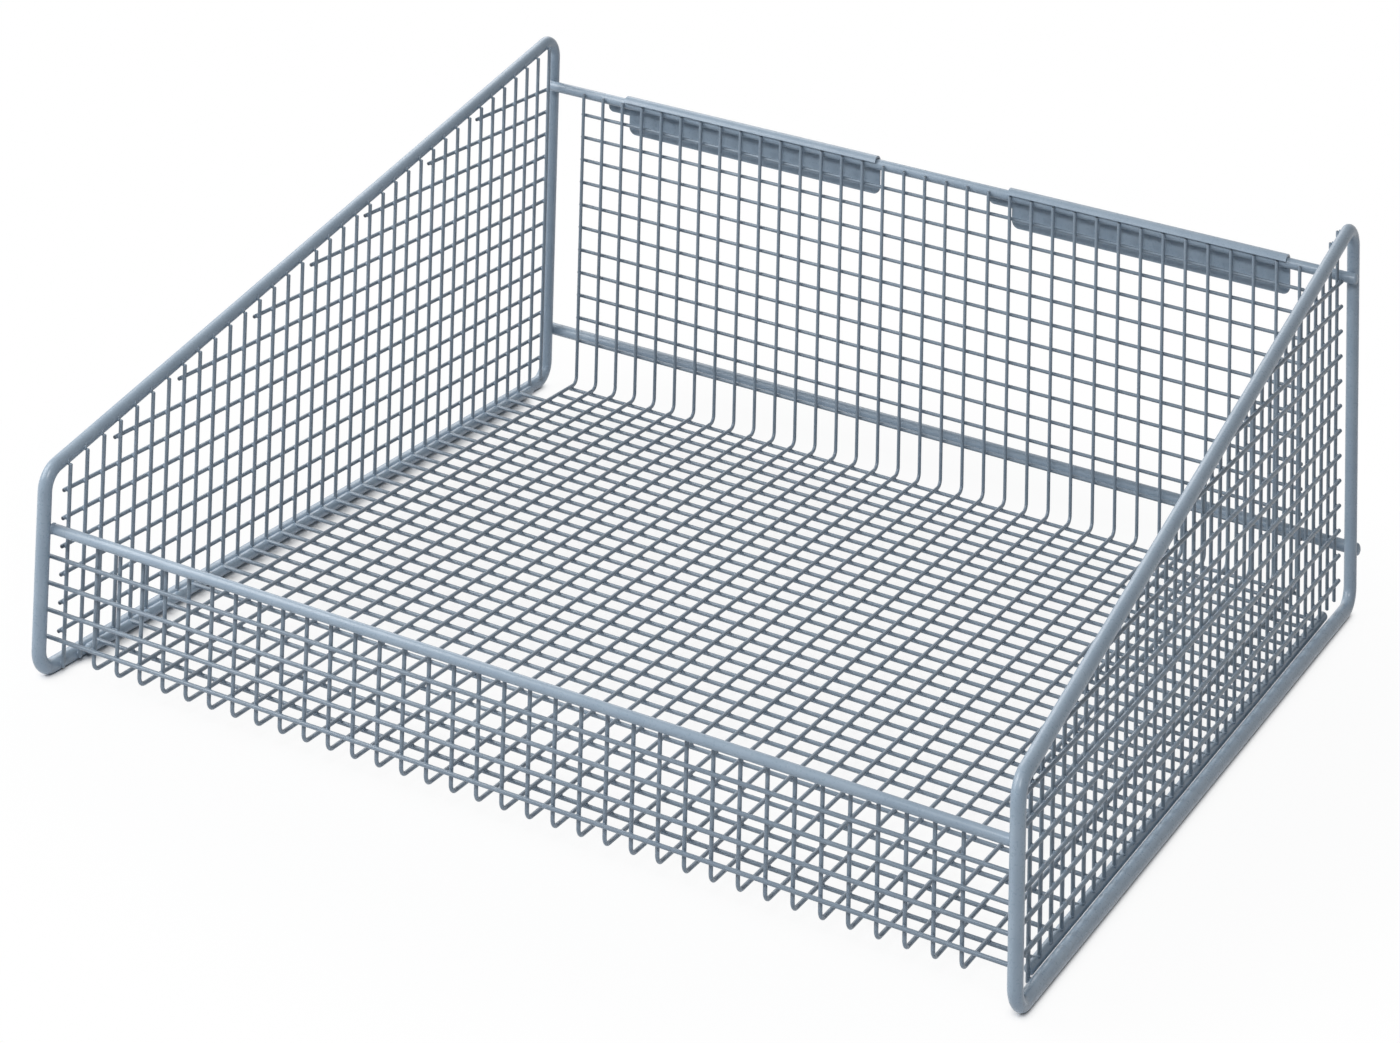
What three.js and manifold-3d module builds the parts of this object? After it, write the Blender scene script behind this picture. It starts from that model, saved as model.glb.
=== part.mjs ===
// Hanging storage bin of coated welded wire: two bent-bar side frames with mesh panels, a main mesh
// whose long wires run down the front, along the floor and up the back, three rails and two hook strips.
// Millimetres. +X is the width, -Y the open low front, +Z up. The bin stands on z = 0.
import * as THREE from "three";
import { mergeVertices } from "three/addons/utils/BufferGeometryUtils.js";
import Module from "manifold-3d";

// Bar and wire diameters, coating included
const frameBar = 6.6;
const frontRailBar = 4.8;
const topRailBar = 5.6;
const lowerRailBar = 6.4;
const floorRailBar = 4.6;
const wire = 1.9;

// Side frames: spacing of the two frames and of the posts, corner heights above the bottom bar's centre
const frameSpacing = 481;
const postSpacing = 463;
const rearCorner = 194.8;
const frontCorner = 88.5;
const frameBend = 10;

// Main mesh: wire counts, and the distance of the first and last wire of each row from what it ends at.
// The floor's cross wires stand on evenly spaced places, and near the front every second place is empty.
const longWireCount = 35;
const longWireMargin = 25.9;
const meshBend = 4;
const floorHeight = 9;
const backCrossCount = 11;
const backCrossDrop = 11.3;
const backCrossFoot = 23.4;
const floorPlaceCount = 34;
const emptyFloorCount = 4;
const floorCrossFront = 29.4;
const floorCrossRear = 4.5;
const shortFloorCount = 2;
const frontCrossCount = 4;
const frontCrossDrop = 13.2;
const frontCrossFoot = 9.3;

// Side meshes
const sideUprightCount = 36;
const sideUprightFront = 12.5;
const sideUprightRear = 14;
const longUprightCount = 2;
const sideRowCount = 13;
const sideRowHeight = 18.7;
const sideRowHeadroom = 28.2;
const wireOverhang = 2.2;
const rowClearance = 3;
const uprightTopDrop = 4.2;

// Rails
const frontRailHeight = 67.2;
const rearTopRailHeight = 170.8;
const rearLowerRailHeight = 29.2;
const topRailLeftOverlap = 0.2;
const topRailRightOverlap = 4.4;
const lowerRailOverlap = 3.3;
const floorRailFront = 7.4;
const floorRailRear = 12.8;

// Hanger strips
const sheet = 1.2;
const hangerLength = 158;
const hangerEnd = 207;
const hangerSpacing = 237.3;
const hangerDrop = 17.6;
const hangerCorner = 4;
const lugLength = 13.7;
const lugDrop = 7.4;
const lugCorner = 3;
const hangerWrap = 160;
const rollClearance = 0.4;

// Clearance left at every seat and at every crossing, the spread of a resistance weld between two
// crossing wires, and the depth to which the ends of the floor's cross wires sink into the floor rails
const seat = 0.3;
const crossGap = 0.2;
const weldSize = 1.3;
const weldSink = 1.6;

const wireSides = 6;
const railSides = 10;
const frameSides = 12;

const wasm = await Module();
wasm.setup();

const coat = () => new THREE.MeshStandardMaterial({ color: 0x8797a8, roughness: 0.42, metalness: 0.15 });

const root = new THREE.Group();
root.name = "hanging_wire_bin";

// A regular polygon of n sides with the area of a circle: corner radius and flat radius
const cornerRadius = (bar, n) => (bar / 2) * Math.sqrt((2 * Math.PI) / (n * Math.sin((2 * Math.PI) / n)));
const flatRadius = (bar, n) => cornerRadius(bar, n) * Math.cos(Math.PI / n);

const wireFlat = flatRadius(wire, wireSides);
const frameFlat = flatRadius(frameBar, frameSides);
const layer = 2 * wireFlat + crossGap;

// Solid from an indexed or plain buffer geometry
function solid(geometry) {
  const bare = geometry.clone();
  bare.deleteAttribute("normal");
  bare.deleteAttribute("uv");
  const merged = mergeVertices(bare, 1e-4);
  return new wasm.Manifold(
    new wasm.Mesh({
      numProp: 3,
      vertProperties: merged.attributes.position.array,
      triVerts: new Uint32Array(merged.index.array),
    }),
  );
}

const join = (solids) => solids.reduce((a, b) => a.add(b));

function addNode(name, made) {
  const mesh = made.getMesh();
  const geometry = new THREE.BufferGeometry();
  geometry.setAttribute("position", new THREE.BufferAttribute(mesh.vertProperties, 3));
  geometry.setIndex(new THREE.BufferAttribute(mesh.triVerts, 1));
  geometry.computeVertexNormals();
  const node = new THREE.Mesh(geometry, coat());
  node.name = name;
  root.add(node);
}

// A rod of n sides along a flat path. `across` is the normal of the path's plane; flats face `across`
// and the path's own normal. A looped path closes on itself, an open one gets flat ends.
function rod(path, across, bar, n, looped = false) {
  const radius = cornerRadius(bar, n);
  const count = path.length;
  const positions = [];
  const index = [];
  path.forEach((point, i) => {
    const before = path[looped ? (i + count - 1) % count : Math.max(i - 1, 0)];
    const after = path[looped ? (i + 1) % count : Math.min(i + 1, count - 1)];
    const inward = new THREE.Vector3().subVectors(point, before).normalize();
    const outward = new THREE.Vector3().subVectors(after, point).normalize();
    if (!looped && i === 0) inward.copy(outward);
    if (!looped && i === count - 1) outward.copy(inward);
    const along = inward.clone().add(outward).normalize();
    const side = new THREE.Vector3().crossVectors(across, along);
    const mitre = 1 / along.dot(inward);
    for (let k = 0; k < n; k++) {
      const turn = ((k + 0.5) * 2 * Math.PI) / n;
      const vertex = point.clone();
      vertex.addScaledVector(side, Math.sin(turn) * radius * mitre);
      vertex.addScaledVector(across, Math.cos(turn) * radius);
      positions.push(vertex.x, vertex.y, vertex.z);
    }
  });
  const rings = looped ? count : count - 1;
  for (let i = 0; i < rings; i++) {
    const a = i * n;
    const b = ((i + 1) % count) * n;
    for (let k = 0; k < n; k++) {
      const next = (k + 1) % n;
      index.push(a + k, a + next, b + next, a + k, b + next, b + k);
    }
  }
  if (!looped) {
    const last = (count - 1) * n;
    for (let k = 1; k < n - 1; k++) {
      index.push(0, k + 1, k, last, last + k, last + k + 1);
    }
  }
  const geometry = new THREE.BufferGeometry();
  geometry.setAttribute("position", new THREE.BufferAttribute(new Float32Array(positions), 3));
  geometry.setIndex(index);
  const made = solid(geometry);
  return made.volume() < 0 ? solid(flipped(geometry)) : made;
}

function flipped(geometry) {
  const turned = geometry.clone();
  const order = turned.index.array;
  for (let i = 0; i < order.length; i += 3) {
    const kept = order[i + 1];
    order[i + 1] = order[i + 2];
    order[i + 2] = kept;
  }
  return turned;
}

const v = (x, y, z) => new THREE.Vector3(x, y, z);
const X_AXIS = v(1, 0, 0);
const Y_AXIS = v(0, 1, 0);
const Z_AXIS = v(0, 0, 1);

// Points of a path with each inner corner replaced by an arc of the given radius
function rounded(corners, radius, steps, looped = false) {
  const path = [];
  corners.forEach((corner, i) => {
    const isEnd = !looped && (i === 0 || i === corners.length - 1);
    if (isEnd) {
      path.push(corner);
      return;
    }
    const before = corners[(i + corners.length - 1) % corners.length];
    const after = corners[(i + 1) % corners.length];
    const toBefore = before.clone().sub(corner).normalize();
    const toAfter = after.clone().sub(corner).normalize();
    const half = toBefore.angleTo(toAfter) / 2;
    const reach = radius / Math.tan(half);
    const bisector = toBefore.clone().add(toAfter).normalize();
    const centre = corner.clone().addScaledVector(bisector, radius / Math.sin(half));
    const start = corner.clone().addScaledVector(toBefore, reach).sub(centre);
    const end = corner.clone().addScaledVector(toAfter, reach).sub(centre);
    const sweep = start.angleTo(end);
    for (let k = 0; k <= steps; k++) {
      const share = (k / steps) * sweep;
      const point = start.clone().multiplyScalar(Math.sin(sweep - share) / Math.sin(sweep));
      point.addScaledVector(end, Math.sin(share) / Math.sin(sweep));
      path.push(point.add(centre));
    }
  });
  return path;
}

// A weld between two crossing wires: a small block that bridges the gap between their layers
function weld(x, y, z) {
  const block = new THREE.BoxGeometry(weldSize, weldSize, weldSize);
  block.translate(x, y, z);
  return solid(block);
}

// Places that everything else is set out from
const frameX = frameSpacing / 2;
const rearReach = frameBar / 2 + seat + lowerRailBar;
const frontPostY = -(postSpacing + rearReach - frameBar / 2) / 2;
const rearPostY = frontPostY + postSpacing;
const barHeight = frameBar / 2;
const slope = (rearCorner - frontCorner) / postSpacing;
const slopeHeight = (y) => barHeight + frontCorner + slope * (y - frontPostY);

const frontRailFlat = flatRadius(frontRailBar, railSides);
const topRailFlat = flatRadius(topRailBar, railSides);
const lowerRailFlat = flatRadius(lowerRailBar, railSides);
const floorRailFlat = flatRadius(floorRailBar, railSides);

const rearTopRailY = rearPostY - frameFlat - seat - topRailFlat;
const rearLowerRailY = rearPostY + frameFlat + seat + lowerRailFlat;
const frontCrossY = frontPostY + frameFlat + seat + wireFlat;
const frontLongY = frontCrossY + layer;
const frontRailY = frontLongY - wireFlat - crossGap - frontRailFlat;
const backLongY = rearTopRailY - topRailFlat - crossGap - wireFlat;
const backCrossY = backLongY + layer;
const floorCrossHeight = floorHeight - layer;

// Place of wire i in a row of wires spread evenly between two ends
const spread = (from, to, count, i) => from + ((to - from) * i) / (count - 1);
const edgeX = frameX - longWireMargin;
const longWireX = (i) => spread(-edgeX, edgeX, longWireCount, i);
const backCrossZ = (k) =>
  spread(rearTopRailHeight - backCrossDrop, floorHeight + backCrossFoot, backCrossCount, k);
const floorPlaceY = (k) => spread(frontLongY + floorCrossFront, backLongY - floorCrossRear, floorPlaceCount, k);
const floorCrossY = Array.from({ length: floorPlaceCount }, (_, k) => k)
  .filter((k) => k % 2 === 0 || k >= 2 * emptyFloorCount)
  .map(floorPlaceY);
const longFloorRows = floorCrossY.slice(0, -shortFloorCount);
const shortFloorRows = floorCrossY.slice(-shortFloorCount);
const frontCrossZ = (k) =>
  spread(frontRailHeight - frontCrossDrop, floorHeight + frontCrossFoot, frontCrossCount, k);
const uprightY = (i) =>
  spread(frontPostY + sideUprightFront, rearPostY - sideUprightRear, sideUprightCount, i);
const sideRowZ = (k) => spread(sideRowHeight, barHeight + rearCorner - sideRowHeadroom, sideRowCount, k);

// Side uprights and floor rails, both seated on the inside of the side frames
const uprightInset = frameFlat + seat + wireFlat;
const floorRailX = frameX - frameFlat - seat - floorRailFlat;
const floorRailHeight = floorCrossHeight - wireFlat - floorRailFlat + weldSink;
const floorCrossEnd = frameX - uprightInset - wireFlat - seat;

// Side frames: one bar bent to a closed four-sided hoop with a sloping top
function sideFrame(side) {
  const x = side * frameX;
  const corners = [
    v(x, frontPostY, barHeight),
    v(x, rearPostY, barHeight),
    v(x, rearPostY, barHeight + rearCorner),
    v(x, frontPostY, barHeight + frontCorner),
  ];
  return rod(rounded(corners, frameBend, 5, true), X_AXIS, frameBar, frameSides, true);
}

// Side meshes: uprights seated on the inside of the frame, rows on the outside of the uprights.
// The lowest row is welded to every upright and the rearmost upright to every row. The uprights end
// above the floor rails, and the front ones, which stand before these, reach down the bottom bar.
function sideMesh(side) {
  const uprightX = side * (frameX - uprightInset);
  const rowX = uprightX + side * layer;
  const weldX = (uprightX + rowX) / 2;
  const rearmost = sideUprightCount - 1;
  const pieces = [];
  for (let i = 0; i < sideUprightCount; i++) {
    const y = uprightY(i);
    const foot = i < longUprightCount ? barHeight - wire / 2 : floorRailHeight + floorRailBar / 2 + seat;
    const top = slopeHeight(y) + frameBar / 2 - uprightTopDrop;
    pieces.push(rod([v(uprightX, y, foot), v(uprightX, y, top)], X_AXIS, wire, wireSides));
    pieces.push(weld(weldX, y, sideRowHeight));
  }
  for (let k = 0; k < sideRowCount; k++) {
    const z = sideRowZ(k);
    let first = 0;
    while (slopeHeight(uprightY(first) - wireOverhang) - frameBar / 2 - rowClearance < z) first++;
    const path = [v(rowX, uprightY(first) - wireOverhang, z), v(rowX, uprightY(rearmost) + wireOverhang, z)];
    pieces.push(rod(path, X_AXIS, wire, wireSides));
    if (k > 0) pieces.push(weld(weldX, uprightY(rearmost), z));
  }
  return join(pieces);
}

// Long wires: down the front, along the floor, up the back
function longWire(x) {
  const corners = [
    v(x, frontLongY, frontRailHeight),
    v(x, frontLongY, floorHeight),
    v(x, backLongY, floorHeight),
    v(x, backLongY, rearTopRailHeight + wire / 2),
  ];
  return rod(rounded(corners, meshBend, 3), X_AXIS, wire, wireSides);
}

const crossWire = (halfLength, y, z, across) =>
  rod([v(-halfLength, y, z), v(halfLength, y, z)], across, wire, wireSides);

// Edge ladder: the two outermost long wires with the cross wires that end on them
function edgeLadder() {
  const pieces = [longWire(-edgeX), longWire(edgeX)];
  for (let k = 0; k < backCrossCount; k++) {
    pieces.push(crossWire(edgeX + wireOverhang, backCrossY, backCrossZ(k), Y_AXIS));
    for (const x of [-edgeX, edgeX]) pieces.push(weld(x, (backLongY + backCrossY) / 2, backCrossZ(k)));
  }
  for (const y of shortFloorRows) {
    pieces.push(crossWire(edgeX + wireOverhang, y, floorCrossHeight, Z_AXIS));
    for (const x of [-edgeX, edgeX]) pieces.push(weld(x, y, (floorHeight + floorCrossHeight) / 2));
  }
  return join(pieces);
}

// Floor ladder: the other floor cross wires, their ends welded on two rails inside the side frames
function floorLadder() {
  const pieces = [];
  for (const x of [-floorRailX, floorRailX]) {
    const path = [
      v(x, longFloorRows.at(0) - floorRailFront, floorRailHeight),
      v(x, longFloorRows.at(-1) + floorRailRear, floorRailHeight),
    ];
    pieces.push(rod(path, X_AXIS, floorRailBar, railSides));
  }
  for (const y of longFloorRows) pieces.push(crossWire(floorCrossEnd, y, floorCrossHeight, Z_AXIS));
  return join(pieces);
}

const rail = (left, right, y, z, bar) => rod([v(left, y, z), v(right, y, z)], Y_AXIS, bar, railSides);

// Hanger strip: sheet rolled over the rear top rail, its flange hanging behind the rail, a lug at one end
function hanger(rightEnd) {
  const inner = topRailBar / 2 + rollClearance;
  const outer = inner + sheet;
  const left = rightEnd - hangerLength;
  const foot = rearTopRailHeight - hangerDrop;
  const lugFoot = rearTopRailHeight - lugDrop;
  const lugLeft = left - lugLength;
  const top = rearTopRailHeight;

  const plate = new THREE.Shape();
  plate.moveTo(rightEnd, top);
  plate.lineTo(lugLeft, top);
  plate.lineTo(lugLeft, lugFoot + lugCorner);
  plate.absarc(lugLeft + lugCorner, lugFoot + lugCorner, lugCorner, Math.PI, 1.5 * Math.PI, false);
  plate.lineTo(left, lugFoot);
  plate.lineTo(left, foot + hangerCorner);
  plate.absarc(left + hangerCorner, foot + hangerCorner, hangerCorner, Math.PI, 1.5 * Math.PI, false);
  plate.lineTo(rightEnd - hangerCorner, foot);
  plate.absarc(rightEnd - hangerCorner, foot + hangerCorner, hangerCorner, 1.5 * Math.PI, 2 * Math.PI, false);
  const flange = new THREE.ExtrudeGeometry(plate, { depth: sheet, bevelEnabled: false, curveSegments: 5 });
  flange.rotateX(Math.PI / 2);
  flange.translate(0, rearTopRailY + outer, 0);

  const wrap = (hangerWrap * Math.PI) / 180;
  const roll = new THREE.Shape();
  roll.absarc(0, 0, outer, 0, wrap, false);
  roll.absarc(0, 0, inner, wrap, 0, true);
  const curl = new THREE.ExtrudeGeometry(roll, { depth: hangerLength, bevelEnabled: false, curveSegments: 14 });
  curl.applyMatrix4(new THREE.Matrix4().makeBasis(Y_AXIS, Z_AXIS, X_AXIS));
  curl.translate(left, rearTopRailY, rearTopRailHeight);
  return solid(flange).add(solid(curl));
}

for (const [word, side] of [["left", -1], ["right", 1]]) {
  addNode("side_frame_" + word, sideFrame(side));
  addNode("side_mesh_" + word, sideMesh(side));
}
for (let i = 1; i < longWireCount - 1; i++) {
  addNode("long_wire_" + String(i + 1).padStart(2, "0"), longWire(longWireX(i)));
}
addNode("edge_ladder", edgeLadder());
addNode("floor_ladder", floorLadder());
for (let k = 0; k < frontCrossCount; k++) {
  addNode("front_cross_" + (k + 1), crossWire(frameX, frontCrossY, frontCrossZ(k), Y_AXIS));
}
const frontRailEnd = frameX - frameFlat - seat;
const topRailLeft = -frameX - topRailLeftOverlap;
const topRailRight = frameX + topRailRightOverlap;
const lowerRailEnd = frameX + lowerRailOverlap;
addNode("front_rail", rail(-frontRailEnd, frontRailEnd, frontRailY, frontRailHeight, frontRailBar));
addNode("rear_top_rail", rail(topRailLeft, topRailRight, rearTopRailY, rearTopRailHeight, topRailBar));
addNode("rear_lower_rail", rail(-lowerRailEnd, lowerRailEnd, rearLowerRailY, rearLowerRailHeight, lowerRailBar));
addNode("hanger_left", hanger(hangerEnd - hangerSpacing));
addNode("hanger_right", hanger(hangerEnd));

export default root;
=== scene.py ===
"""Hanging storage bin of welded, powder-coated steel wire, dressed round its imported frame."""
import math
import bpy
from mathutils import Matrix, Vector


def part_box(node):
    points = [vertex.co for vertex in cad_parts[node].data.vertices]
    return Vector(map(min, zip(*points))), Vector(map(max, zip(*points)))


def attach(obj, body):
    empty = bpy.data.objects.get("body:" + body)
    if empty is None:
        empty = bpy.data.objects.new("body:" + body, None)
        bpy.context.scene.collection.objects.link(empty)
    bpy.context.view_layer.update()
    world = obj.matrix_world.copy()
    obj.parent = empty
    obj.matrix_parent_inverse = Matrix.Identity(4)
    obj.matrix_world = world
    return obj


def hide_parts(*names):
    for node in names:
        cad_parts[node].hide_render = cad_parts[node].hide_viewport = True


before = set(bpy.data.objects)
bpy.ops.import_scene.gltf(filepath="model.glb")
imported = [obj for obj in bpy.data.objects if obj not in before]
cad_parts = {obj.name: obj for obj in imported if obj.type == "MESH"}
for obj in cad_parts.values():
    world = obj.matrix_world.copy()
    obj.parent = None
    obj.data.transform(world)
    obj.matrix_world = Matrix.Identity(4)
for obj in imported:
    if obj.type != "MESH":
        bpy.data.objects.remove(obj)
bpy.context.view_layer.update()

from types import SimpleNamespace

import bpy
from bpy.props import FloatProperty, FloatVectorProperty, IntProperty, PointerProperty
from mathutils import Matrix, Vector

bl_info = {
    "name": "Hanging Wire Bin",
    "version": (1, 0, 0),
    "blender": (4, 5, 0),
    "location": "View3D > Sidebar > Wire Bin",
    "description": "Builds a coated wire bin with hook strips on its CAD frame",
    "category": "Object",
}

MM = 0.001
BODY = "root"

X_AXIS, Y_AXIS, Z_AXIS = Vector((1, 0, 0)), Vector((0, 1, 0)), Vector((0, 0, 1))
CAD_WIRE_SIDES = 6  # the frame's wires are hexagons that stand on a corner
WIRE_SIDES, RAIL_SIDES, FRAME_SIDES = 12, 20, 28
DOME_RINGS, DOME_HEIGHT = 4, 0.55  # of a rod's end; the height is in parts of its radius
BEAD_SIDES, BEAD_RINGS = 8, 4
FRAME_BEND_STEPS, MESH_BEND_STEPS = 14, 8

# Painted shade, as a value on each vertex: 0 is plain coat and 1 the dark tone painted on wire ends
# to stand for their shade.
# Thin wires get part of it so they look darker than bars, and welds a smaller part, so they read as
# painted highlights beside the wires.
PAINTED_SHADE = "painted_shade"
BAR_SHADE, WIRE_PAINTED_SHADE, WELD_PAINTED_SHADE, END_PAINTED_SHADE = 0.0, 0.37, 0.17, 1.0

# Reach of a bead of coat along x, y and z, in parts of the weld size: where two wires cross ...
SIDE_CROSSING, WALL_CROSSING, FLOOR_CROSSING = (0.75, 1, 1), (1, 0.75, 1), (1, 1, 0.75)
# ... where a wire seats on a bar or rail ...
SLOPE_SEAT, BOTTOM_SEAT, FLOOR_RAIL_SEAT = (0.7, 1, 1.5), (0.7, 1, 1.3), (0.9, 1, 0.8)
POST_SEAT, RAIL_SEAT = (1.5, 0.7, 1), (1, 0.7, 1.4)
# ... and where a rear rail seats on a post.
RAIL_ON_POST = (2, 0.8, 1.8)


def linear(text):
    """Linear colour of an sRGB hex value."""
    parts = [int(text[i:i + 2], 16) / 255 for i in (1, 3, 5)]
    return tuple(c / 12.92 if c <= 0.04045 else ((c + 0.055) / 1.055) ** 2.4 for c in parts)


def length(name, description, millimetres):
    """A size in metres whose default is given in millimetres."""
    return FloatProperty(name=name, description=description, default=millimetres * MM,
                         min=0, precision=5, unit="LENGTH")


def number(name, description, default, least=0):
    """A count of wires or places."""
    return IntProperty(name=name, description=description, default=default, min=least)


def power(name, description, watts):
    """The power of a lamp."""
    return FloatProperty(name=name, description=description, default=watts, min=0, unit="POWER")


def tint(name, description, text):
    """A colour whose default is given as sRGB hex."""
    return FloatVectorProperty(name=name, description=description, default=linear(text),
                               subtype="COLOR", size=3, min=0, max=1)


class BarSizes(bpy.types.PropertyGroup):
    """Sections and bends of bars, wires and sheet"""
    frame_bar: length("Frame bar", "Diameter of the side frames' bar", 6.6)
    front_rail: length("Front rail", "Diameter of the front rail", 4.8)
    top_rail: length("Top rail", "Diameter of the rear top rail", 5.6)
    lower_rail: length("Lower rail", "Diameter of the rear lower rail", 6.4)
    floor_rail: length("Floor rail", "Diameter of the thin rails under the floor rows' ends", 4.6)
    wire: length("Wire", "Diameter of a coated mesh wire", 1.9)
    frame_bend: length("Frame bend", "Bend radius of the side frames", 10)
    mesh_bend: length("Mesh bend", "Bend radius of the long wires", 4)
    front_corner: length("Front corner", "Side frame's front corner over its bottom bar", 88.5)
    rear_corner: length("Rear corner", "Side frame's rear corner over its bottom bar", 194.8)
    weld: length("Weld", "Reach of the coat's fillet round a crossing of two wires", 1.0)
    sink: length("Weld sink", "Depth to which the floor wires sink into the floor rails", 1.6)


class MeshLayout(bpy.types.PropertyGroup):
    """Counts of wires, and the distance of each row's ends from what it ends at"""
    long_count: number("Long wires", "Wires bent to a tray", 35, 2)
    long_margin: length("Long margin", "Side frame to outermost long wire", 25.9)
    back_count: number("Back rows", "Cross wires of the back", 11, 2)
    back_drop: length("Back drop", "Rear top rail to highest back row", 11.3)
    back_foot: length("Back foot", "Floor wires to lowest back row", 23.4)
    floor_places: number("Floor places", "Even places for the floor's cross wires", 34, 3)
    floor_empty: number("Empty floor places", "Places left empty at the front, every second one", 4)
    floor_short: number("Short floor rows", "Rear rows that end on the outer long wires", 2, 1)
    floor_front: length("Floor front", "Front wall to first floor row", 29.4)
    floor_rear: length("Floor rear", "Back wall to last floor row", 4.5)
    floor_reach: length("Floor reach", "Middle of the bin to the end of a floor row", 234.83)
    floor_rail_front: length("Floor rail front", "Rail's reach before the first floor row", 7.4)
    floor_rail_rear: length("Floor rail rear", "Rail's reach behind the last long floor row", 12.8)
    upright_count: number("Side uprights", "Upright wires of one side", 36, 2)
    upright_front: length("Upright front", "Front post to first upright", 12.5)
    upright_rear: length("Upright rear", "Last upright to rear post", 14)
    upright_drop: length("Upright drop", "Top of the sloping bar to the tip of an upright", 4.2)
    tip_shift: length("Tip shift", "Right side's tips below the left side's, behind the bar", 1.8)
    tip_proud: number("Proud tips", "Rear uprights of the right side that stand higher instead", 2)
    upright_long: number("Long uprights", "Front uprights that reach down to the bottom bar", 2)
    row_count: number("Side rows", "Level wires of one side", 13, 2)
    row_height: length("Row height", "Ground to lowest side row", 18.7)
    row_headroom: length("Row headroom", "Highest side row to rear corner", 28.2)
    row_clearance: length("Row clearance", "Least distance of a row from the sloping bar", 3)
    overhang: length("Overhang", "Reach of a wire past the one it ends on", 2.2)


class HookSizes(bpy.types.PropertyGroup):
    """Sheet strips rolled over the rear top rail"""
    sheet: length("Sheet", "Thickness of the strip", 1.2)
    clearance: length("Clearance", "Rail to the inside of the roll", 0.4)
    drop: length("Drop", "Rail's middle to the strip's lower edge", 17.6)
    corner: length("Corner", "Radius of the strip's lower corners", 4)
    lug: length("Lug", "Length of the flat lug at the left end", 13.7)
    lug_drop: length("Lug drop", "Rail's middle to the lug's lower edge", 7.4)
    lug_corner: length("Lug corner", "Radius of the lug's lower corner", 3)
    edge: length("Edge", "Rounding that the coat gives the sheet's edges", 0.28)
    wrap: FloatProperty(name="Wrap", description="How far the roll reaches round the rail",
                        default=math.radians(160), subtype="ANGLE")


class CoatLooks(bpy.types.PropertyGroup):
    """Colours and grain of the powder coat, and the dark tone of its painted shade"""
    colour: tint("Coat", "Blue-grey of the coat", "#8fa0b0")
    pale: tint("Thin coat", "Tone where the coat is a little thinner", "#97a7b6")
    # Painted shade: the dark tone given in full to wire ends and in part to thin wires and welds.
    cut: tint("Cut end", "Tone of a cut end, which thin wires and welds have in part", "#454e59")
    peel: length("Orange peel", "Width of one ripple of the coat", 1.1)
    mottle: length("Mottle", "Width of one patch of tone", 16)


class StageLooks(bpy.types.PropertyGroup):
    """Floor and light"""
    floor: tint("Floor", "Colour of the studio floor", "#e4e6e9")
    key: power("Key lamp", "Wide soft lamp at the left", 41)
    fill: power("Fill lamp", "Smaller soft lamp above the front", 18)
    rim: power("Rim lamp", "Soft lamp at the left rear", 7)
    contact: length("Contact shadow", "Reach of the shade that bars and wires cast round them", 22)
    sky: FloatProperty(name="Surround", description="Strength of the pale surround",
                       default=0.09, min=0)
    sky_tint: tint("Surround tint", "Colour of the pale surround", "#eff7ff")


def spread(first, last, count):
    """Places of a row of wires set evenly between two ends."""
    return [first + (last - first) * i / (count - 1) for i in range(count)]


def middle(name):
    """Middle of a CAD node's box."""
    low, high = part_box(name)
    return (low + high) / 2


def places(scene):
    """Where everything sits: measured on the CAD frame, or set out from it."""
    bars, mesh = scene.bin_bars, scene.bin_mesh
    p = SimpleNamespace()
    low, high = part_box("side_frame_right")
    half = (high.x - low.x) / 2
    p.frame_x, p.bar_z = low.x + half, low.z + half
    p.front_post, p.rear_post = low.y + half, high.y - half
    slope = (bars.rear_corner - bars.front_corner) / (p.rear_post - p.front_post)
    p.slope_z = lambda y: p.bar_z + bars.front_corner + slope * (y - p.front_post)

    p.front_rail = middle("front_rail")
    p.top_rail, p.lower_rail = middle("rear_top_rail"), middle("rear_lower_rail")
    low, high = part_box("long_wire_02")
    flat = (high.x - low.x) / 2
    corner = flat / math.cos(math.pi / CAD_WIRE_SIDES)
    p.front_long, p.back_long, p.floor_z = low.y + corner, high.y - corner, low.z + corner
    p.long_top, p.lip_top = high.z, p.front_rail.z
    p.edge_x = p.frame_x - mesh.long_margin
    p.long_x = spread(-p.edge_x, p.edge_x, mesh.long_count)

    p.back_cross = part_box("edge_ladder")[1].y - flat
    p.back_rows = spread(p.top_rail.z - mesh.back_drop, p.floor_z + mesh.back_foot, mesh.back_count)
    p.floor_cross = p.floor_z - (p.back_cross - p.back_long)
    rows = spread(p.front_long + mesh.floor_front, p.back_long - mesh.floor_rear, mesh.floor_places)
    p.floor_rows = [y for k, y in enumerate(rows) if k % 2 == 0 or k >= 2 * mesh.floor_empty]
    p.floor_rail_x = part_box("floor_ladder")[1].x - bars.floor_rail / 2
    p.floor_rail_z = p.floor_cross - bars.wire / 2 - bars.floor_rail / 2 + bars.sink

    low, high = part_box("side_mesh_right")
    p.upright_x, p.row_x = low.x + flat, high.x - flat
    p.uprights = spread(p.front_post + mesh.upright_front, p.rear_post - mesh.upright_rear,
                        mesh.upright_count)
    p.rows = spread(mesh.row_height, p.bar_z + bars.rear_corner - mesh.row_headroom, mesh.row_count)
    return p


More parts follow.
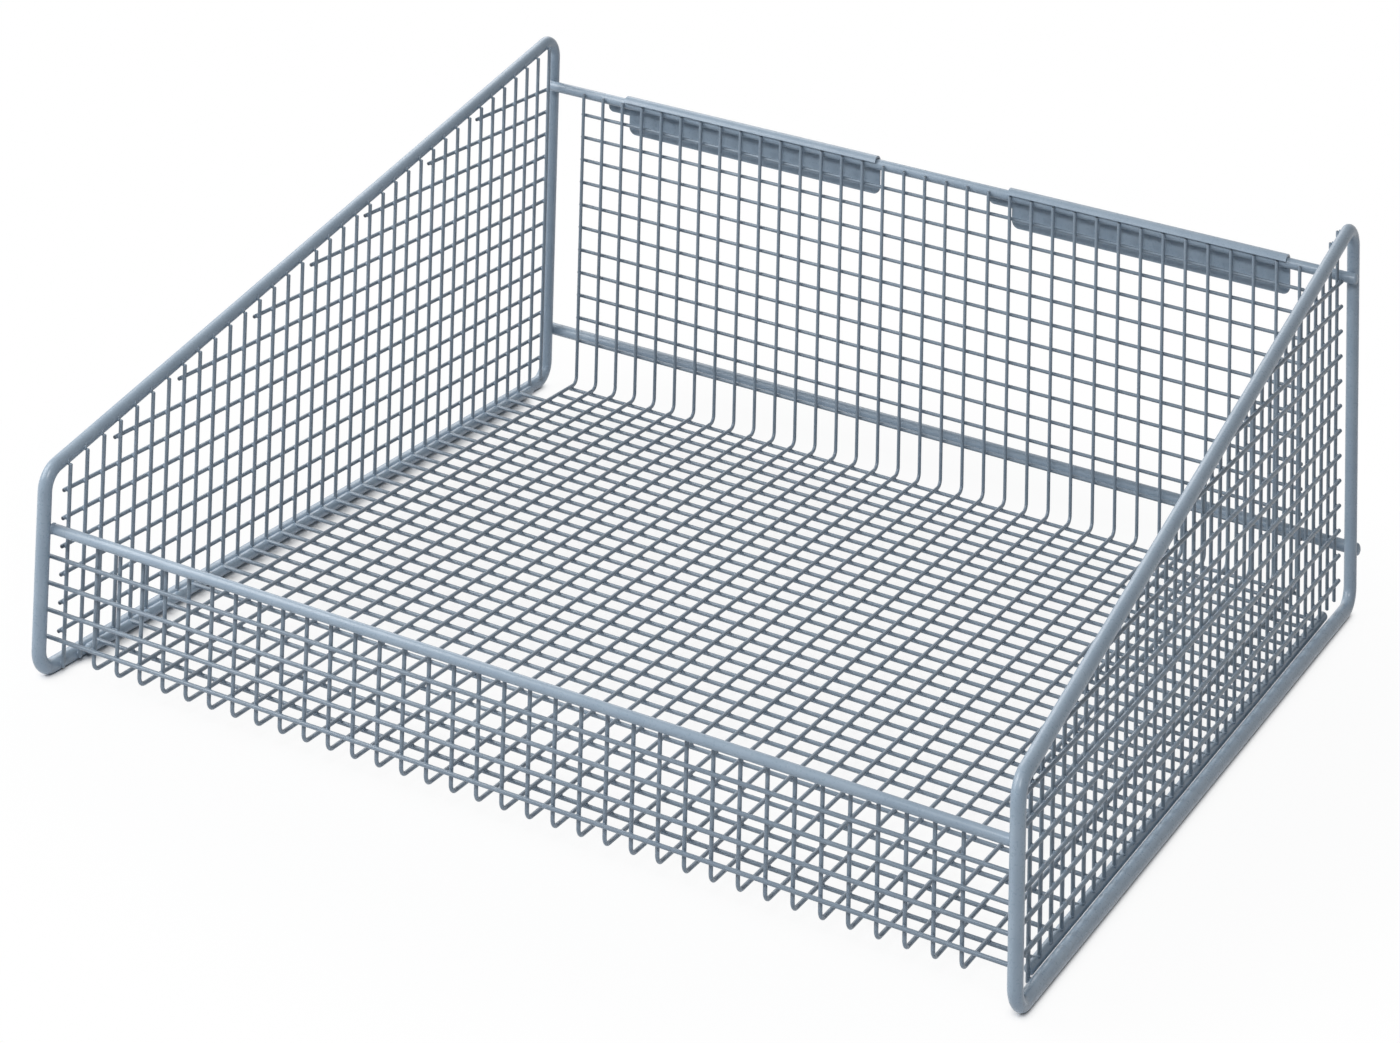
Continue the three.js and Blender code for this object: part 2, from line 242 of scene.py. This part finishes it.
class Shape:
    """Points and faces of one piece while it is put together."""

    def __init__(self):
        self.points, self.faces, self.shades = [], [], []

    def rings(self, rings, shades, closed=False, tips=(None, None)):
        """Skins rings of points in order. A tip closes an end with a fan."""
        start, sides = len(self.points), len(rings[0])
        for ring, shade in zip(rings, shades):
            self.points += ring
            self.shades += [shade] * sides
        for i in range(len(rings) if closed else len(rings) - 1):
            a, b = start + i * sides, start + (i + 1) % len(rings) * sides
            for k in range(sides):
                n = (k + 1) % sides
                self.faces.append((a + k, a + n, b + n, b + k))
        for tip, ring, first in zip(tips, (start, start + (len(rings) - 1) * sides), (True, False)):
            if tip is None:
                continue
            self.points.append(tip)
            self.shades.append(shades[0] if first else shades[-1])
            for k in range(sides):
                n = (k + 1) % sides
                pair = (ring + n, ring + k) if first else (ring + k, ring + n)
                self.faces.append((len(self.points) - 1,) + pair)

    def rod(self, path, across, radius, sides, closed=False, unshaded_end=False):
        """Round rod along a flat path whose plane's normal is across. Open ends have a low dome.
        A wire carries painted shade, and its dome ends a darker painted shade unless the end is left
        unshaded."""
        count, rings, shades = len(path), [], []
        # Wires carry painted shade all along, and their dome ends a darker painted shade unless left
        # unshaded.
        open_shade = WIRE_PAINTED_SHADE if sides == WIRE_SIDES else BAR_SHADE
        end_shade = END_PAINTED_SHADE if sides == WIRE_SIDES and not unshaded_end else BAR_SHADE

        def ring(place, side, size, shade):
            turns = [2 * math.pi * k / sides for k in range(sides)]
            rings.append([place + side * (size * math.cos(t)) + across * (size * math.sin(t))
                          for t in turns])
            shades.append(shade)

        def dome(place, outward, side, order):
            for j in order:
                turn = math.pi / 2 * j / DOME_RINGS
                ring(place - outward * (radius * DOME_HEIGHT * (1 - math.sin(turn))), side,
                     radius * math.cos(turn), end_shade if j >= DOME_RINGS / 2 else open_shade)

        for i, place in enumerate(path):
            start, end = not closed and i == 0, not closed and i == count - 1
            before = (path[1] - place if start else place - path[i - 1]).normalized()
            after = (place - path[i - 1] if end else path[(i + 1) % count] - place).normalized()
            along = (before + after).normalized()
            side = along.cross(across)
            if start:
                dome(place, -along, side, reversed(range(DOME_RINGS)))
            elif end:
                dome(place, along, side, range(DOME_RINGS))
            else:
                ring(place, side / along.dot(after), radius, open_shade)
        self.rings(rings, shades, closed, (None, None) if closed else (path[0], path[-1]))

    def bead(self, x, y, z, reach, unit):
        """Fillet of coat over a weld: a flattened ball. Its reach along each axis is in a unit."""
        centre, reach = Vector((x, y, z)), Vector(reach) * unit
        turns = [2 * math.pi * k / BEAD_SIDES for k in range(BEAD_SIDES)]
        rings = []
        for j in range(1, BEAD_RINGS):
            lift = math.pi * j / BEAD_RINGS
            out, up = math.sin(lift), -math.cos(lift)
            rings.append([centre + reach * Vector((out * math.cos(t), out * math.sin(t), up))
                          for t in turns])
        lower, upper = centre - Z_AXIS * reach.z, centre + Z_AXIS * reach.z
        # Welds take less painted shade than wires, so they read as small painted highlights at the
        # crossings.
        self.rings(rings, [WELD_PAINTED_SHADE] * len(rings), tips=(lower, upper))

    def piece(self, name, *nodes):
        """Makes the coated object, which rides on the bin's body in place of its CAD nodes."""
        mesh = bpy.data.meshes.new(name)
        mesh.from_pydata(self.points, [], self.faces)
        # Each vertex keeps its painted shade value for the coat.
        mesh.attributes.new(PAINTED_SHADE, "FLOAT", "POINT").data.foreach_set("value", self.shades)
        mesh.polygons.foreach_set("use_smooth", [True] * len(self.faces))
        mesh.validate()
        made = bpy.data.objects.new(name, mesh)
        bpy.context.scene.collection.objects.link(made)
        made.data.materials.append(powder_coated_steel())
        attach(made, BODY)
        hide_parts(*nodes)
        return made


def rounded(corners, radius, steps, closed=False):
    """A polyline with its corners bent to arcs."""
    count, path = len(corners), []
    for i, corner in enumerate(corners):
        if not closed and i in (0, count - 1):
            path.append(corner)
            continue
        into = (corner - corners[i - 1]).normalized()
        out = (corners[(i + 1) % count] - corner).normalized()
        half = into.angle(out) / 2
        start = corner - into * (radius * math.tan(half))
        inward = (out - into * into.dot(out)).normalized()
        for k in range(steps + 1):
            turn = 2 * half * k / steps
            path.append(start + into * (radius * math.sin(turn))
                        + inward * (radius * (1 - math.cos(turn))))
    return path


def tray_wire(shape, p, bars, x):
    """Long wire: down the front, along the floor and up the back."""
    corners = [Vector((x, p.front_long, p.lip_top)), Vector((x, p.front_long, p.floor_z)),
               Vector((x, p.back_long, p.floor_z)), Vector((x, p.back_long, p.long_top))]
    shape.rod(rounded(corners, bars.mesh_bend, MESH_BEND_STEPS), X_AXIS, bars.wire / 2, WIRE_SIDES)


def level_wire(shape, left, right, y, z, radius, sides):
    """Wire or rail across the bin, from side to side."""
    shape.rod([Vector((left, y, z)), Vector((right, y, z))], Y_AXIS, radius, sides)


def node(tree, kind, inputs=(), **settings):
    """Adds a node, sets its fields and sets or links its inputs."""
    made = tree.nodes.new(kind)
    for field, value in settings.items():
        setattr(made, field, value)
    for socket, value in dict(inputs).items():
        if isinstance(value, bpy.types.NodeSocket):
            tree.links.new(value, made.inputs[socket])
        else:
            made.inputs[socket].default_value = value
    return made


def seen_rays(tree):
    """1 for rays that show a background: of the camera, of reflections and of clear materials."""
    rays = node(tree, "ShaderNodeLightPath").outputs
    seen = node(tree, "ShaderNodeMath", {0: rays["Is Camera Ray"], 1: rays["Is Glossy Ray"]},
                operation="MAXIMUM")
    return node(tree, "ShaderNodeMath", {0: seen.outputs[0], 1: rays["Is Transmission Ray"]},
                operation="MAXIMUM").outputs[0]


def new_material(name):
    """An empty material and its node tree."""
    made = bpy.data.materials.new(name)
    made.use_nodes = True
    made.node_tree.nodes.clear()
    return made, made.node_tree


def powder_coated_steel():
    """Satin powder coat, baked on steel wire. It flows smooth with a faint orange peel, so bars
    show a soft, slightly broken highlight. Painted shade darkens it at wire ends, and in part on
    wires and welds, so wires look darker than bars."""
    name = "powder_coated_steel"
    if name in bpy.data.materials:
        return bpy.data.materials[name]
    looks = bpy.context.scene.bin_coat
    ripple_height = 0.1 * MM
    made, tree = new_material(name)
    here = node(tree, "ShaderNodeTexCoord").outputs["Object"]
    patches = node(tree, "ShaderNodeTexNoise", {"Vector": here, "Scale": 1 / looks.mottle,
                                                "Detail": 3.0, "Roughness": 0.6})
    # A real coat's ripples are finer than a millimetre; these are as coarse as they need to show.
    peel = node(tree, "ShaderNodeTexNoise", {"Vector": here, "Scale": 1 / looks.peel,
                                             "Detail": 2.0, "Roughness": 0.45})
    patch = node(tree, "ShaderNodeMapRange", {"Value": patches.outputs["Fac"],
                                              "From Min": 0.38, "From Max": 0.66})
    tone = node(tree, "ShaderNodeMix", {"Factor": patch.outputs["Result"], 6: (*looks.colour, 1),
                                        7: (*looks.pale, 1)}, data_type="RGBA")
    # Painted shade: the vertex value mixes the coat toward a dark tone on wire ends, wires and
    # welds.
    shade = node(tree, "ShaderNodeAttribute", attribute_name=PAINTED_SHADE)
    colour = node(tree, "ShaderNodeMix", {"Factor": shade.outputs["Fac"], 6: tone.outputs[2],
                                          7: (*looks.cut, 1)}, data_type="RGBA")
    gloss = node(tree, "ShaderNodeMapRange", {"Value": peel.outputs["Fac"],
                                              "From Min": 0.3, "From Max": 0.7,
                                              "To Min": 0.25, "To Max": 0.37})
    ripple = node(tree, "ShaderNodeBump", {"Height": peel.outputs["Fac"], "Strength": 0.35,
                                           "Distance": ripple_height})
    coat = node(tree, "ShaderNodeBsdfPrincipled", {"Base Color": colour.outputs[2], "IOR": 1.5,
                                                   "Roughness": gloss.outputs["Result"],
                                                   "Normal": ripple.outputs["Normal"]})
    node(tree, "ShaderNodeOutputMaterial", {"Surface": coat.outputs["BSDF"]})
    return made


class BIN_OT_side_frames(bpy.types.Operator):
    """Two closed hoops of round bar with a sloping top"""
    bl_idname = "wire_bin.side_frames"
    bl_label = "Side Frames"

    def execute(self, context):
        p, bars = places(context.scene), context.scene.bin_bars
        for word, x in (("left", -p.frame_x), ("right", p.frame_x)):
            corners = [Vector((x, p.front_post, p.bar_z)), Vector((x, p.rear_post, p.bar_z)),
                       Vector((x, p.rear_post, p.bar_z + bars.rear_corner)),
                       Vector((x, p.front_post, p.bar_z + bars.front_corner))]
            hoop = Shape()
            hoop.rod(rounded(corners, bars.frame_bend, FRAME_BEND_STEPS, closed=True), X_AXIS,
                     bars.frame_bar / 2, FRAME_SIDES, closed=True)
            hoop.piece("frame_hoop_" + word, "side_frame_" + word)
        return {"FINISHED"}


class BIN_OT_side_grilles(bpy.types.Operator):
    """Uprights inside the frames with level rows welded across them"""
    bl_idname = "wire_bin.side_grilles"
    bl_label = "Side Grilles"

    FOOT_GAP = 0.3 * MM     # floor rail to the foot of an upright
    SLOPE_RISE = 0.3 * MM   # upward shift of the beads at the sloping bar,
    BOTTOM_RISE = 0.6 * MM  # of those at the bottom bar
    RAIL_RISE = 0.1 * MM    # and of those on the floor rail

    def execute(self, context):
        p, bars, mesh = places(context.scene), context.scene.bin_bars, context.scene.bin_mesh
        for word, side in (("left", -1), ("right", 1)):
            grille = Shape()
            self.uprights(grille, side, p, bars, mesh)
            self.rows(grille, side, p, bars, mesh)
            grille.piece("side_grille_" + word, "side_mesh_" + word)
        return {"FINISHED"}

    def uprights(self, grille, side, p, bars, mesh):
        """Upright wires of one side with the beads that hold them to the bars."""
        x, bar_face = side * p.upright_x, side * (p.frame_x - bars.frame_bar / 2)
        radius, rail_top = bars.wire / 2, p.floor_rail_z + bars.floor_rail / 2
        rail_end = p.floor_rows[-1 - mesh.floor_short] + mesh.floor_rail_rear
        for i, y in enumerate(p.uprights):
            long = i < mesh.upright_long
            foot = p.bar_z - radius if long else rail_top + self.FOOT_GAP
            tip = p.slope_z(y) + bars.frame_bar / 2 - mesh.upright_drop
            if side > 0:
                proud = i >= mesh.upright_count - mesh.tip_proud
                tip += mesh.tip_shift if proud else -mesh.tip_shift
            # On the right the tips take the darker painted shade of an end; on the left they are
            # left unshaded.
            grille.rod([Vector((x, y, foot)), Vector((x, y, tip))], X_AXIS, radius, WIRE_SIDES,
                       unshaded_end=side < 0)
            seat = min(tip, p.slope_z(y)) + self.SLOPE_RISE
            grille.bead(bar_face, y, seat, SLOPE_SEAT, bars.weld)
            if long:
                grille.bead(bar_face, y, p.bar_z + self.BOTTOM_RISE, BOTTOM_SEAT, bars.weld)
            elif y < rail_end:
                grille.bead(x, y, rail_top + self.RAIL_RISE, FLOOR_RAIL_SEAT, bars.weld)

    def rows(self, grille, side, p, bars, mesh):
        """Level wires of one side, each as long as the sloping bar leaves room for."""
        x, lap = side * p.row_x, mesh.overhang
        for z in p.rows:
            held = [y for y in p.uprights
                    if p.slope_z(y - lap) - bars.frame_bar / 2 - mesh.row_clearance >= z]
            grille.rod([Vector((x, held[0] - lap, z)), Vector((x, held[-1] + lap, z))], X_AXIS,
                       bars.wire / 2, WIRE_SIDES)
            for y in held:
                grille.bead((side * p.upright_x + x) / 2, y, z, SIDE_CROSSING, bars.weld)


class BIN_OT_tray_wires(bpy.types.Operator):
    """Inner long wires, each bent to run down the front, along the floor and up the back"""
    bl_idname = "wire_bin.tray_wires"
    bl_label = "Tray Wires"

    def execute(self, context):
        p, bars = places(context.scene), context.scene.bin_bars
        tray = Shape()
        for x in p.long_x[1:-1]:
            tray_wire(tray, p, bars, x)
        tray.piece("tray_wires", *sorted(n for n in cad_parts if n.startswith("long_wire_")))
        return {"FINISHED"}


class BIN_OT_edge_wires(bpy.types.Operator):
    """Outermost long wires with the back rows and short floor rows that end on them"""
    bl_idname = "wire_bin.edge_wires"
    bl_label = "Edge Wires and Back Rows"

    def execute(self, context):
        p, bars, mesh = places(context.scene), context.scene.bin_bars, context.scene.bin_mesh
        edge, reach = Shape(), p.edge_x + mesh.overhang
        for x in (p.long_x[0], p.long_x[-1]):
            tray_wire(edge, p, bars, x)
        for z in p.back_rows:
            level_wire(edge, -reach, reach, p.back_cross, z, bars.wire / 2, WIRE_SIDES)
            for x in p.long_x:
                edge.bead(x, (p.back_long + p.back_cross) / 2, z, WALL_CROSSING, bars.weld)
        for y in p.floor_rows[-mesh.floor_short:]:
            level_wire(edge, -reach, reach, y, p.floor_cross, bars.wire / 2, WIRE_SIDES)
            for x in p.long_x:
                edge.bead(x, y, (p.floor_z + p.floor_cross) / 2, FLOOR_CROSSING, bars.weld)
        edge.piece("edge_and_back_wires", "edge_ladder")
        return {"FINISHED"}


class BIN_OT_floor_rows(bpy.types.Operator):
    """Floor cross wires on two thin rails inside the side frames"""
    bl_idname = "wire_bin.floor_rows"
    bl_label = "Floor Rows"

    def execute(self, context):
        p, bars, mesh = places(context.scene), context.scene.bin_bars, context.scene.bin_mesh
        floor, reach = Shape(), mesh.floor_reach
        rows = p.floor_rows[:-mesh.floor_short]
        for x in (-p.floor_rail_x, p.floor_rail_x):
            floor.rod([Vector((x, rows[0] - mesh.floor_rail_front, p.floor_rail_z)),
                       Vector((x, rows[-1] + mesh.floor_rail_rear, p.floor_rail_z))],
                      X_AXIS, bars.floor_rail / 2, RAIL_SIDES)
        for y in rows:
            level_wire(floor, -reach, reach, y, p.floor_cross, bars.wire / 2, WIRE_SIDES)
            for x in p.long_x:
                floor.bead(x, y, (p.floor_z + p.floor_cross) / 2, FLOOR_CROSSING, bars.weld)
        floor.piece("floor_rows_and_rails", "floor_ladder")
        return {"FINISHED"}


class BIN_OT_front_rows(bpy.types.Operator):
    """Four cross wires of the front, lapped behind the front posts"""
    bl_idname = "wire_bin.front_rows"
    bl_label = "Front Rows"

    def execute(self, context):
        p, bars = places(context.scene), context.scene.bin_bars
        front = Shape()
        nodes = sorted(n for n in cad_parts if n.startswith("front_cross_"))
        for name in nodes:
            low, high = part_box(name)
            y, z = (low.y + high.y) / 2, (low.z + high.z) / 2
            level_wire(front, low.x, high.x, y, z, bars.wire / 2, WIRE_SIDES)
            for x in p.long_x:
                front.bead(x, (y + p.front_long) / 2, z, WALL_CROSSING, bars.weld)
            for x in (-p.frame_x, p.frame_x):
                front.bead(x, p.front_post + bars.frame_bar / 2, z, POST_SEAT, bars.weld)
        front.piece("front_rows", *nodes)
        return {"FINISHED"}


class BIN_OT_rails(bpy.types.Operator):
    """Front rail, rear top rail and rear lower rail"""
    bl_idname = "wire_bin.rails"
    bl_label = "Rails"

    END_LAP = 0.5 * MM      # reach of the front rail into the posts, past the CAD rail's ends
    END_COLLAR = 0.35 * MM  # height of the bead round those ends over the rail
    END_WIDTH = 1.2         # its reach along the rail, in parts of the weld size
    FRONT_SHIFT = 0.4 * MM  # downward shift of the beads between front rail and long wires,
    TOP_SHIFT = 0.2 * MM    # and of those at the rear top rail

    def execute(self, context):
        p, bars = places(context.scene), context.scene.bin_bars
        self.front_rail(p, bars)
        self.top_rail(p, bars)
        self.lower_rail(p, bars)
        return {"FINISHED"}

    def front_rail(self, p, bars):
        """Rail between the front posts, on the front ends of the long wires."""
        rail, place, radius = Shape(), p.front_rail, bars.front_rail / 2
        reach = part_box("front_rail")[1].x + self.END_LAP
        level_wire(rail, -reach, reach, place.y, place.z, radius, RAIL_SIDES)
        collar = radius + self.END_COLLAR
        for x in (-reach, reach):
            rail.bead(x, place.y, place.z, (self.END_WIDTH * bars.weld, collar, collar), 1)
        seat = (place.y + radius + p.front_long - bars.wire / 2) / 2
        for x in p.long_x:
            rail.bead(x, seat, place.z - self.FRONT_SHIFT, RAIL_SEAT, bars.weld)
        rail.piece("front_rail_bar", "front_rail")

    def top_rail(self, p, bars):
        """Rail in front of the rear posts, behind the rear ends of the long wires."""
        rail, place, radius = Shape(), p.top_rail, bars.top_rail / 2
        low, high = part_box("rear_top_rail")
        level_wire(rail, low.x, high.x, place.y, place.z, radius, RAIL_SIDES)
        post_seat = (place.y + radius + p.rear_post - bars.frame_bar / 2) / 2
        for x in (-p.frame_x, p.frame_x):
            rail.bead(x, post_seat, place.z, RAIL_ON_POST, bars.weld)
        seat = (place.y - radius + p.back_long + bars.wire / 2) / 2
        for x in p.long_x:
            rail.bead(x, seat, place.z - self.TOP_SHIFT, RAIL_SEAT, bars.weld)
        rail.piece("rear_top_rail_bar", "rear_top_rail")

    def lower_rail(self, p, bars):
        """Rail behind the rear posts."""
        rail, place, radius = Shape(), p.lower_rail, bars.lower_rail / 2
        low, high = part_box("rear_lower_rail")
        level_wire(rail, low.x, high.x, place.y, place.z, radius, RAIL_SIDES)
        post_seat = (place.y - radius + p.rear_post + bars.frame_bar / 2) / 2
        for x in (-p.frame_x, p.frame_x):
            rail.bead(x, post_seat, place.z, RAIL_ON_POST, bars.weld)
        rail.piece("rear_lower_rail_bar", "rear_lower_rail")


class BIN_OT_hook_strips(bpy.types.Operator):
    """Sheet strips rolled over the rear top rail, with a hanging flange and a lug"""
    bl_idname = "wire_bin.hook_strips"
    bl_label = "Hook Strips"

    COLUMNS = 24        # points along the strip
    ROLL_STEPS = 24     # steps round the rail
    LUG_STEPS = 3       # steps down the flange as far as the lug's foot
    CORNER_STEPS = 6
    EDGE_SEGMENTS = 3
    EDGE_ANGLE = math.radians(50)  # least angle of an edge that the coat rounds

    def execute(self, context):
        p, bars, hook = places(context.scene), context.scene.bin_bars, context.scene.bin_hooks
        radius = bars.top_rail / 2 + hook.clearance + hook.sheet / 2
        for word in ("left", "right"):
            low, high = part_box("hanger_" + word)
            strip = self.strip(p, hook, radius, low.x, high.x)
            made = strip.piece("hook_strip_" + word, "hanger_" + word)
            wall = made.modifiers.new("sheet", "SOLIDIFY")
            wall.thickness, wall.offset = hook.sheet, 0
            edge = made.modifiers.new("coated_edge", "BEVEL")
            edge.width, edge.segments = hook.edge, self.EDGE_SEGMENTS
            edge.limit_method, edge.angle_limit = "ANGLE", self.EDGE_ANGLE
            edge.harden_normals = True
        return {"FINISHED"}

    def corner(self, size):
        """Rounded lower corner from the side down, as rises over the foot and insets."""
        turns = [math.pi / 2 * k / self.CORNER_STEPS for k in range(self.CORNER_STEPS + 1)]
        return [(size * (1 - math.sin(turn)), size * (1 - math.cos(turn))) for turn in turns]

    def strip(self, p, hook, radius, lug_left, right):
        """Middle surface of one strip, from the roll's lip over the rail and down the flange."""
        y, top, left = p.top_rail.y, p.top_rail.z, lug_left + hook.lug
        foot, lug_foot = top - hook.drop, top - hook.lug_drop
        rows = []
        for i in range(self.ROLL_STEPS + 1):
            turn = hook.wrap * (1 - i / self.ROLL_STEPS)
            rows.append((y + radius * math.cos(turn), top + radius * math.sin(turn), left, right))
        heights = [(top - hook.lug_drop * k / self.LUG_STEPS, 0)
                   for k in range(1, self.LUG_STEPS + 1)]
        heights.append(((lug_foot + foot + hook.corner) / 2, 0))
        heights += [(foot + rise, inset) for rise, inset in self.corner(hook.corner)]
        rows += [(y + radius, z, left + inset, right - inset) for z, inset in heights]

        made = Shape()
        for row_y, z, start, end in rows:
            made.points += [Vector((x, row_y, z)) for x in spread(start, end, self.COLUMNS)]
        for i in range(len(rows) - 1):
            for k in range(self.COLUMNS - 1):
                a, b = i * self.COLUMNS + k, (i + 1) * self.COLUMNS + k
                made.faces.append((a, a + 1, b + 1, b))

        # The lug goes on from the flange's left edge, from the rail's middle down to its own foot.
        joint = [(self.ROLL_STEPS + k) * self.COLUMNS for k in range(self.LUG_STEPS + 1)]
        outline = [Vector((lug_left, y + radius, top))]
        outline += [Vector((lug_left + inset, y + radius, lug_foot + rise))
                    for rise, inset in self.corner(hook.lug_corner)]
        first = len(made.points)
        made.points += outline
        made.faces.append((*joint, *reversed(range(first, len(made.points)))))
        made.shades = [BAR_SHADE] * len(made.points)
        return made


class BIN_OT_stage(bpy.types.Operator):
    """Pale floor, soft studio light and the camera"""
    bl_idname = "wire_bin.stage"
    bl_label = "Stage"

    # Lamps: place and diameter of each, and the point that they face, in metres.
    KEY_PLACE, KEY_SIZE = Vector((-1.55, -0.8, 1.4)), 1.8
    FILL_PLACE, FILL_SIZE = Vector((0.55, -1.5, 1.6)), 0.6
    RIM_PLACE, RIM_SIZE = Vector((-1.0, 1.2, 1.1)), 1.2
    LIT_POINT = Vector((0, 0, 0.08))
    WHITE = (*linear("#ffffff"), 1)

    FLOOR_REACH, FLOOR_SIDES = 6.0, 64
    FLOOR_LEVEL = -0.02 * MM           # a hair under the bars, so that the two don't share a face
    NEAR, FAR = 0.26, 0.44             # distances between which the floor goes over to full white
    NEAR_WHITE = 0.94                  # share of white under the bin
    COVERED, UNCOVERED = 0.22, 0.64    # openness of the floor in full contact shadow, and out of it
    CONTACT_SAMPLES = 12

    # The view's verticals stay parallel and it leans a little sideways, so its axes aren't square.
    VIEW_PLACE = Vector((0.76543, -1.56187, 0.75263))
    VIEW_RIGHT = Vector((0.90656, 0.41001, 0.10022))
    VIEW_UP = Vector((0.01256, -0.07728, 0.99693))
    VIEW_BACK = Vector((0.41834, -0.82848, 0.37231))
    VIEW_LENS, VIEW_SENSOR = 97.97, 36

    def execute(self, context):
        scene, looks = context.scene, context.scene.bin_stage
        scene.view_settings.view_transform = "Standard"
        self.floor(scene, looks)
        self.lamp(scene, "key_lamp", looks.key, self.KEY_PLACE, self.KEY_SIZE)
        self.lamp(scene, "fill_lamp", looks.fill, self.FILL_PLACE, self.FILL_SIZE)
        self.lamp(scene, "rim_lamp", looks.rim, self.RIM_PLACE, self.RIM_SIZE)
        self.surround(scene, looks)
        self.camera(scene)
        return {"FINISHED"}

    def floor(self, scene, looks):
        """Round floor under the bin."""
        reach, sides = self.FLOOR_REACH, self.FLOOR_SIDES
        mesh = bpy.data.meshes.new("studio_floor")
        turns = [2 * math.pi * k / sides for k in range(sides)]
        outline = [(reach * math.cos(t), reach * math.sin(t), self.FLOOR_LEVEL) for t in turns]
        mesh.from_pydata(outline, [], [tuple(range(sides))])
        floor = bpy.data.objects.new("studio_floor", mesh)
        scene.collection.objects.link(floor)
        mesh.materials.append(self.board(looks))

    def board(self, looks):
        """Matt painted board. Under the bin a little of its own tone shows, with the soft shadow,
        and close to bars and wires all of it, so that they keep their contact shadows."""
        made, tree = new_material("matt_white_board")
        here = node(tree, "ShaderNodeTexCoord").outputs["Object"]
        away = node(tree, "ShaderNodeVectorMath", {0: here}, operation="LENGTH")
        far = node(tree, "ShaderNodeMapRange", {"Value": away.outputs["Value"],
                                                "From Min": self.NEAR, "From Max": self.FAR,
                                                "To Min": self.NEAR_WHITE},
                   interpolation_type="SMOOTHSTEP")
        close = node(tree, "ShaderNodeAmbientOcclusion", {"Distance": looks.contact},
                     samples=self.CONTACT_SAMPLES)
        clear = node(tree, "ShaderNodeMapRange", {"Value": close.outputs["AO"],
                                                  "From Min": self.COVERED,
                                                  "From Max": self.UNCOVERED})
        open_far = node(tree, "ShaderNodeMath", {0: far.outputs["Result"],
                                                 1: clear.outputs["Result"]}, operation="MULTIPLY")
        share = node(tree, "ShaderNodeMath", {0: seen_rays(tree), 1: open_far.outputs[0]},
                     operation="MULTIPLY")
        board = node(tree, "ShaderNodeBsdfDiffuse", {"Color": (*looks.floor, 1)})
        white = node(tree, "ShaderNodeEmission", {"Color": self.WHITE, "Strength": 1.0})
        both = node(tree, "ShaderNodeMixShader", {0: share.outputs[0], 1: board.outputs[0],
                                                  2: white.outputs[0]})
        node(tree, "ShaderNodeOutputMaterial", {"Surface": both.outputs[0]})
        return made

    def lamp(self, scene, name, watts, place, size):
        """Round soft lamp that faces the bin."""
        light = bpy.data.lights.new(name, "AREA")
        light.energy, light.shape, light.size = watts, "DISK", size
        made = bpy.data.objects.new(name, light)
        scene.collection.objects.link(made)
        made.location = place
        made.rotation_euler = (self.LIT_POINT - place).to_track_quat("-Z", "Y").to_euler()

    def surround(self, scene, looks):
        """Faint light from all sides that shows as white."""
        world = bpy.data.worlds.new("pale_surround")
        world.use_nodes = True
        tree = world.node_tree
        tree.nodes.clear()
        lit = node(tree, "ShaderNodeBackground", {"Color": (*looks.sky_tint, 1),
                                                  "Strength": looks.sky})
        white = node(tree, "ShaderNodeBackground", {"Color": self.WHITE, "Strength": 1.0})
        both = node(tree, "ShaderNodeMixShader", {0: seen_rays(tree), 1: lit.outputs[0],
                                                  2: white.outputs[0]})
        node(tree, "ShaderNodeOutputWorld", {"Surface": both.outputs[0]})
        scene.world = world

    def camera(self, scene):
        """Camera on a stand whose skewed axes give the view."""
        lens = bpy.data.cameras.new("photo_view")
        lens.sensor_fit, lens.sensor_width = "HORIZONTAL", self.VIEW_SENSOR
        lens.lens = self.VIEW_LENS
        made = bpy.data.objects.new("photo_view", lens)
        stand = bpy.data.objects.new("view_stand", None)
        for thing in (stand, made):
            scene.collection.objects.link(thing)
        made.parent = stand
        axes = Matrix((self.VIEW_RIGHT, self.VIEW_UP, self.VIEW_BACK)).transposed().to_4x4()
        made.matrix_parent_inverse = Matrix.Translation(self.VIEW_PLACE) @ axes
        scene.camera = made


class BIN_PT_panel(bpy.types.Panel):
    """Lists the sizes and builders of the bin"""
    bl_idname = "BIN_PT_panel"
    bl_label = "Hanging Wire Bin"
    bl_space_type = "VIEW_3D"
    bl_region_type = "UI"
    bl_category = "Wire Bin"

    def draw(self, context):
        for name in GROUPS:
            box = self.layout.box()
            group = getattr(context.scene, name)
            for field in group.bl_rna.properties.keys():
                if field not in ("rna_type", "name"):
                    box.prop(group, field)
        for maker in MAKERS:
            self.layout.operator(maker.bl_idname)


GROUPS = {"bin_bars": BarSizes, "bin_mesh": MeshLayout, "bin_hooks": HookSizes,
          "bin_coat": CoatLooks, "bin_stage": StageLooks}
MAKERS = (BIN_OT_side_frames, BIN_OT_side_grilles, BIN_OT_tray_wires, BIN_OT_edge_wires,
          BIN_OT_floor_rows, BIN_OT_front_rows, BIN_OT_rails, BIN_OT_hook_strips, BIN_OT_stage)


def register():
    for kind in (*GROUPS.values(), *MAKERS, BIN_PT_panel):
        bpy.utils.register_class(kind)
    for name, kind in GROUPS.items():
        setattr(bpy.types.Scene, name, PointerProperty(type=kind))


def unregister():
    for name in GROUPS:
        delattr(bpy.types.Scene, name)
    for kind in reversed((*GROUPS.values(), *MAKERS, BIN_PT_panel)):
        bpy.utils.unregister_class(kind)


def main():
    register()
    for maker in MAKERS:
        group, name = maker.bl_idname.split(".")
        getattr(getattr(bpy.ops, group), name)()


if __name__ == "__main__":
    main()
